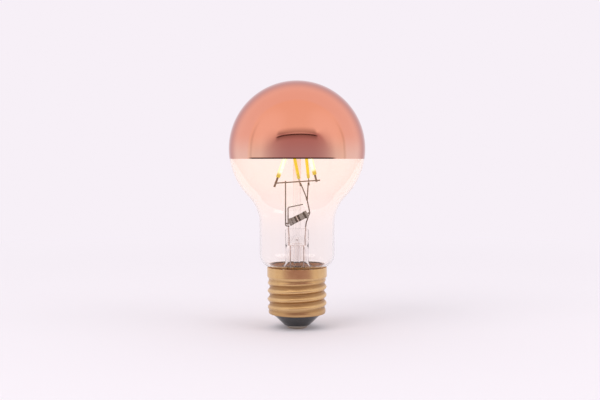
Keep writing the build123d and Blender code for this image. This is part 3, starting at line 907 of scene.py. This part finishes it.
class BULB_OT_filaments(bpy.types.Operator):
    """Light the four filaments and finish their tabs"""

    bl_idname = "bulb.filaments"
    bl_label = "Filaments"

    def execute(self, context):
        filament = context.scene.bulb_filament
        bright = filament.bright, filament.bright_fringe, filament.bright_strength
        yellow = filament.yellow, filament.yellow_fringe, filament.yellow_strength
        for name in BRIGHT_FILAMENTS:
            dress(phosphor_finish(f"bright_{name}", name, filament, *bright), name)
        for name in YELLOW_FILAMENTS:
            dress(phosphor_finish(f"yellow_{name}", name, filament, *yellow), name)
        dress(wire_finish("filament_tab", filament.tab), *FILAMENT_TABS)
        return {"FINISHED"}


class BULB_OT_wires(bpy.types.Operator):
    """Finish the wires and the banded resistor"""

    bl_idname = "bulb.wires"
    bl_label = "Wires and resistor"

    def execute(self, context):
        filament = context.scene.bulb_filament
        dress(wire_finish("lead_wire", filament.wire), *WIRES)
        dress(wire_finish("sealed_wire", filament.sealed_wire), *LEAD_INS)
        dress(resistor_finish(filament), "resistor_body")
        return {"FINISHED"}


class BULB_OT_screw_cap(bpy.types.Operator):
    """Roll the screw shell and turn the insulator and the contact"""

    bl_idname = "bulb.screw_cap"
    bl_label = "Screw cap"

    def execute(self, context):
        cap = context.scene.bulb_cap
        seat(self.shell(cap), brass_finish(cap), "cap_brass", "cap_shell")
        seat(self.insulator(cap), insulator_finish(cap), "insulator_black", "cap_insulator")
        seat(self.contact(cap), contact_finish(cap), "contact_brass", "centre_contact")
        dress(grained_finish("cement", cap.cement, cap.pale_cement, 0.7, 1.5), "cap_cement")
        return {"FINISHED"}

    def shell(self, cap):
        """Screw shell: round below and above, wound between."""
        mean = cap.thread_radius - cap.thread_depth / 2
        lip_bottom = SHELL_LOW.z
        thread_bottom = lip_bottom + cap.lip_drop
        thread_top = thread_bottom + cap.thread_length
        collar = SHELL_HIGH.x
        rim = SHELL_HIGH.z
        bore = cap.thread_radius - cap.thread_depth - cap.wall
        lip = bore - cap.lip_width
        lean = math.atan2(collar - mean, cap.collar_step)
        cone_bottom = thread_top + cap.wall * math.tan(lean / 2)
        cone_top = cone_bottom + cap.collar_step
        foot = soften([(lip, lip_bottom, 0), (mean, lip_bottom, cap.foot_round), (mean, thread_bottom, 0)], 8)
        rings = turned(foot[:-1])
        levels = 150
        for level in range(levels + 1):
            rings.append(self.wound_ring(cap, mean, thread_bottom, cap.thread_length * level / levels))
        top = soften(
            [
                (mean, thread_top, 0),
                (collar, thread_top + cap.collar_step, cap.collar_round),
                (collar, rim, cap.rim_round),
                (collar - cap.wall, rim, cap.rim_round),
                (collar - cap.wall, cone_top, 0),
                (mean - cap.wall, cone_bottom, 0),
                (bore, cone_bottom - cap.thread_depth / 2, 0),
                (bore, lip_bottom + cap.lip_height, 0),
                (lip, lip_bottom + cap.lip_height, 0),
            ]
        )
        return ring_mesh("rolled_shell", rings + turned(top[1:]), 160, closed=True)

    def wound_ring(self, cap, mean, thread_bottom, height):
        """Circle whose centre winds round the axis with the height."""
        fade = min(1.0, height / cap.thread_runout, (cap.thread_length - height) / cap.thread_runout)
        turn = 2 * math.pi * height / cap.thread_pitch
        swing = cap.thread_depth / 2 * fade
        x, y = swing * math.cos(turn), swing * math.sin(turn)

        def ring(angle):
            across = x * math.sin(angle) - y * math.cos(angle)
            radius = x * math.cos(angle) + y * math.sin(angle) + math.sqrt(mean**2 - across**2)
            return (radius * math.cos(angle), radius * math.sin(angle), thread_bottom + height)

        return ring

    def insulator(self, cap):
        """Black cone with its flange and the well for the contact's pin."""
        low, high = INSULATOR_LOW.z, INSULATOR_HIGH.z
        bore = INSULATOR_HIGH.x
        lip = bore - cap.lip_width
        lip_bottom = SHELL_LOW.z
        lip_top = lip_bottom + cap.lip_height
        flange = bore - cap.flange_wall
        floor = low + cap.well_floor
        corners = [
            (cap.pin_radius, low, 0),
            (cap.cone_radius, low, 0.0004),
            (lip, lip_bottom, 0.0003),
            (lip, lip_top, 0),
            (bore, lip_top, 0),
            (bore, high, 0.0002),
            (flange, high, 0.0002),
            (flange, lip_top, 0.0005),
            (cap.well_radius, floor, 0.0004),
            (cap.pin_radius, floor, 0),
        ]
        return lathe("black_insulator", soften(corners), 128, closed=True)

    def contact(self, cap):
        """Domed contact head with its pin."""
        head = CONTACT_HIGH.x
        top = INSULATOR_LOW.z
        flat = cap.contact_flat
        dome = []
        for step in range(13):
            angle = math.pi / 2 * step / 12
            dome.append((flat + (head - flat) * math.sin(angle), top * (1 - math.cos(angle))))
        pin = [(cap.pin_radius, top), (cap.pin_radius, CONTACT_HIGH.z), (0.0, CONTACT_HIGH.z)]
        return lathe("domed_contact", [(0.0, 0.0)] + dome + pin, 96)


class BULB_OT_supply(bpy.types.Operator):
    """Finish the small supply inside the cap"""

    bl_idname = "bulb.supply"
    bl_label = "Supply in the cap"

    def execute(self, context):
        for node, *look in SUPPLY:
            dress(grained_finish(*look), node)
        return {"FINISHED"}


class BULB_OT_stage(bpy.types.Operator):
    """Set the pale floor, the soft light and the camera"""

    bl_idname = "bulb.stage"
    bl_label = "Stage"

    def execute(self, context):
        stage = context.scene.bulb_stage
        self.floor(stage)
        self.world(context.scene, stage)
        for lamp in LAMPS:
            self.lamp(*lamp)
        self.camera(context.scene, stage)
        context.scene.view_settings.view_transform = "Standard"
        return {"FINISHED"}

    def floor(self, stage):
        """Pale floor that keeps the bulb's shadow and fades into the background."""
        radii = [0.0] + [0.05 * 2**step for step in range(7)] + [stage.floor_radius]
        floor = lathe("floor", [(r, 0.0) for r in radii], 96)
        finish = new_finish("pale_floor")
        metres = finish.node("ShaderNodeTexCoord", output="Object")
        distance = finish.vector("LENGTH", metres, output="Value")
        cloud = finish.noise(metres, 6.0, 3.0)
        paper = tuple(value * 0.985 for value in stage.background)
        diffuse = finish.node(
            "ShaderNodeBsdfPrincipled",
            inputs={
                "Base Color": finish.mix(cloud, paper, stage.background),
                "Roughness": 0.8,
                "Specular IOR Level": 0.1,
            },
        )
        crown = (0.0, 0.0, MIRROR_HIGH.z - MIRROR_HIGH.x)
        sight = finish.vector("NORMALIZE", finish.vector("SUBTRACT", metres, crown))
        glow = finish.node(
            "ShaderNodeEmission", inputs={"Color": self.shown(finish, stage, sight), "Strength": 1.0}
        )
        mirrored = self.rays(finish)[1] * finish.rise(distance, 0.04, 0.14)
        fade = finish.math("MAXIMUM", finish.rise(distance, 0.12, 0.5), mirrored) * self.seen(finish)
        shader = finish.node("ShaderNodeMixShader", inputs={0: fade, 1: diffuse, 2: glow})
        finish.node("ShaderNodeOutputMaterial", inputs={"Surface": shader})
        floor.data.materials.append(finish.owner)

    def rays(self, finish):
        """Signals for what is seen directly, in gloss and through glass."""
        path = finish.node("ShaderNodeLightPath").socket.node
        names = ("Is Camera Ray", "Is Glossy Ray", "Is Transmission Ray")
        return [Signal(finish, path.outputs[name]) for name in names]

    def seen(self, finish):
        """1 for what is seen directly, in gloss or through glass, 0 for soft light."""
        direct, glossy, through = self.rays(finish)
        return finish.math("MAXIMUM", finish.math("MAXIMUM", direct, glossy), through)

    def shown(self, finish, stage, direction):
        """Colour in a direction: even when seen directly or through glass, a studio when seen in gloss."""
        x, y, z = finish.split(direction)
        ahead = -1 * y
        depth = finish.math("MAXIMUM", ahead, 0.05)
        front = finish.rise(ahead, -0.03, 0.1)
        aside = abs(x) / depth
        studio = finish.mix(front, stage.background, stage.front)
        # Bright upper sides, and the wall under a wide arch
        window = finish.rise(abs(x) * 0.7 + ahead * 0.445 + z * 0.56, 0.82, 1.0)
        studio = finish.mix(window * 0.85, studio, stage.window)
        arch = z - 0.43 + finish.math("MINIMUM", aside * aside * 0.14, 0.25)
        wall = finish.rise(ahead, 0.0, 0.4) * finish.fall(arch, -0.3, 0.05)
        studio = finish.mix(wall * 0.35, studio, stage.wall)
        # Dim lower part, softer towards its sides
        off_dusk = abs(x - stage.dusk_shift) / depth
        level = z - stage.dusk_height + finish.math("MINIMUM", off_dusk * off_dusk * 0.04, 0.1)
        spread = finish.rise(off_dusk, 0.55, 1.2)
        under = finish.fall(level, -0.04 - spread * 0.35, 0.06 + spread * 0.16)
        studio = finish.mix(front * under * finish.fall(off_dusk, 0.25, 2.3), studio, stage.dusk)
        seam = finish.band(ahead + x * 0.03, 0.115, 0.01, 0.07) * finish.fall(z, 0.25, 0.7)
        studio = finish.mix(seam * 0.22, studio, stage.seam)
        # Dark bar along the top of the dim part, with shade under it and a veil over it
        droop = (x - stage.bar_shift) / depth
        above = z - stage.bar_height + finish.math("MINIMUM", droop * droop * stage.bar_droop, 0.3)
        reach = front * finish.fall(aside, stage.bar_reach, stage.bar_reach + 0.16)
        shade = reach * finish.rise(above, -0.17, -0.01) * finish.fall(above, 0.0, 0.015)
        veil = reach * finish.rise(above, 0.02, 0.05) * finish.fall(above, 0.05, 0.21)
        studio = finish.mix(shade * 0.85 + veil * 0.6, studio, stage.bar_shade)
        studio = finish.mix(reach * finish.band(above, -0.01, 0.01, 0.024), studio, stage.bar)
        glossy, through = self.rays(finish)[1:]
        return finish.mix(glossy * (1 - through), stage.background, studio)

    def world(self, scene, stage):
        """Even white surroundings as soft light, and the studio for what is seen."""
        scene.world = bpy.data.worlds.new("studio")
        finish = Finish(scene.world)
        direction = finish.node("ShaderNodeTexCoord", output="Generated")
        shown = self.shown(finish, stage, direction)
        seen = finish.node("ShaderNodeBackground", inputs={"Color": shown, "Strength": 1.0})
        soft = finish.node(
            "ShaderNodeBackground", inputs={"Color": (*WHITE, 1.0), "Strength": stage.light_level}
        )
        shader = finish.node("ShaderNodeMixShader", inputs={0: self.seen(finish), 1: soft, 2: seen})
        finish.node("ShaderNodeOutputWorld", inputs={"Surface": shader})

    def lamp(self, name, place, size, power):
        """Large soft lamp that looks at the bulb."""
        data = bpy.data.lights.new(name, "AREA")
        data.size = size
        data.energy = power
        lamp = bpy.data.objects.new(name, data)
        lamp.location = place
        aim = Vector((0.0, 0.0, GLASS_HIGH.z / 2)) - lamp.location
        lamp.rotation_euler = aim.to_track_quat("-Z", "Y").to_euler()
        lamp.visible_camera = False
        lamp.visible_glossy = False
        bpy.context.scene.collection.objects.link(lamp)

    def camera(self, scene, stage):
        """Camera level with the mirror's edge, tilted down so that the crown stands on its picture row."""
        data = bpy.data.cameras.new("camera")
        data.sensor_fit = "HORIZONTAL"
        data.lens = stage.camera_lens
        camera = bpy.data.objects.new("camera", data)
        ball_z = MIRROR_HIGH.z - MIRROR_HIGH.x
        camera.location = (stage.camera_side, -stage.camera_distance, MIRROR_LOW.z)
        focal_rows = data.lens / data.sensor_width * PHOTO_SIZE[0]
        up = math.atan2(ball_z - MIRROR_LOW.z, stage.camera_distance)
        tilt = math.atan2(PHOTO_SIZE[1] / 2 - stage.crown_row, focal_rows) - up
        camera.rotation_euler = (math.pi / 2 - tilt, 0.0, 0.0)
        scene.collection.objects.link(camera)
        scene.camera = camera


class BULB_PT_panel(bpy.types.Panel):
    """Bulb pieces, in the order in which they are made"""

    bl_idname = "BULB_PT_panel"
    bl_label = "Crown mirror bulb"
    bl_space_type = "VIEW_3D"
    bl_region_type = "UI"
    bl_category = "Bulb"

    def draw(self, context):
        layout = self.layout
        for settings in SETTINGS:
            group = getattr(context.scene, settings)
            box = layout.box()
            for key in group.__annotations__:
                box.prop(group, key)
        for operator in OPERATORS:
            layout.operator(operator.bl_idname)


SETTINGS = {
    "bulb_glass": GlassSettings,
    "bulb_mirror": MirrorSettings,
    "bulb_stem": StemSettings,
    "bulb_cap": CapSettings,
    "bulb_filament": FilamentSettings,
    "bulb_stage": StageSettings,
}
OPERATORS = (
    BULB_OT_glass_envelope,
    BULB_OT_crown_mirror,
    BULB_OT_glass_stem,
    BULB_OT_filaments,
    BULB_OT_wires,
    BULB_OT_screw_cap,
    BULB_OT_supply,
    BULB_OT_stage,
)


def register():
    """Add the settings, the operators and the panel."""
    for name, group in SETTINGS.items():
        bpy.utils.register_class(group)
        setattr(bpy.types.Scene, name, PointerProperty(type=group))
    for operator in OPERATORS:
        bpy.utils.register_class(operator)
    bpy.utils.register_class(BULB_PT_panel)


def unregister():
    """Take them away again, last first."""
    bpy.utils.unregister_class(BULB_PT_panel)
    for operator in reversed(OPERATORS):
        bpy.utils.unregister_class(operator)
    for name, group in reversed(SETTINGS.items()):
        delattr(bpy.types.Scene, name)
        bpy.utils.unregister_class(group)


def main():
    """Make the bulb and its stage."""
    register()
    bpy.ops.bulb.glass_envelope()
    bpy.ops.bulb.crown_mirror()
    bpy.ops.bulb.glass_stem()
    bpy.ops.bulb.filaments()
    bpy.ops.bulb.wires()
    bpy.ops.bulb.screw_cap()
    bpy.ops.bulb.supply()
    bpy.ops.bulb.stage()


if __name__ == "__main__":
    main()
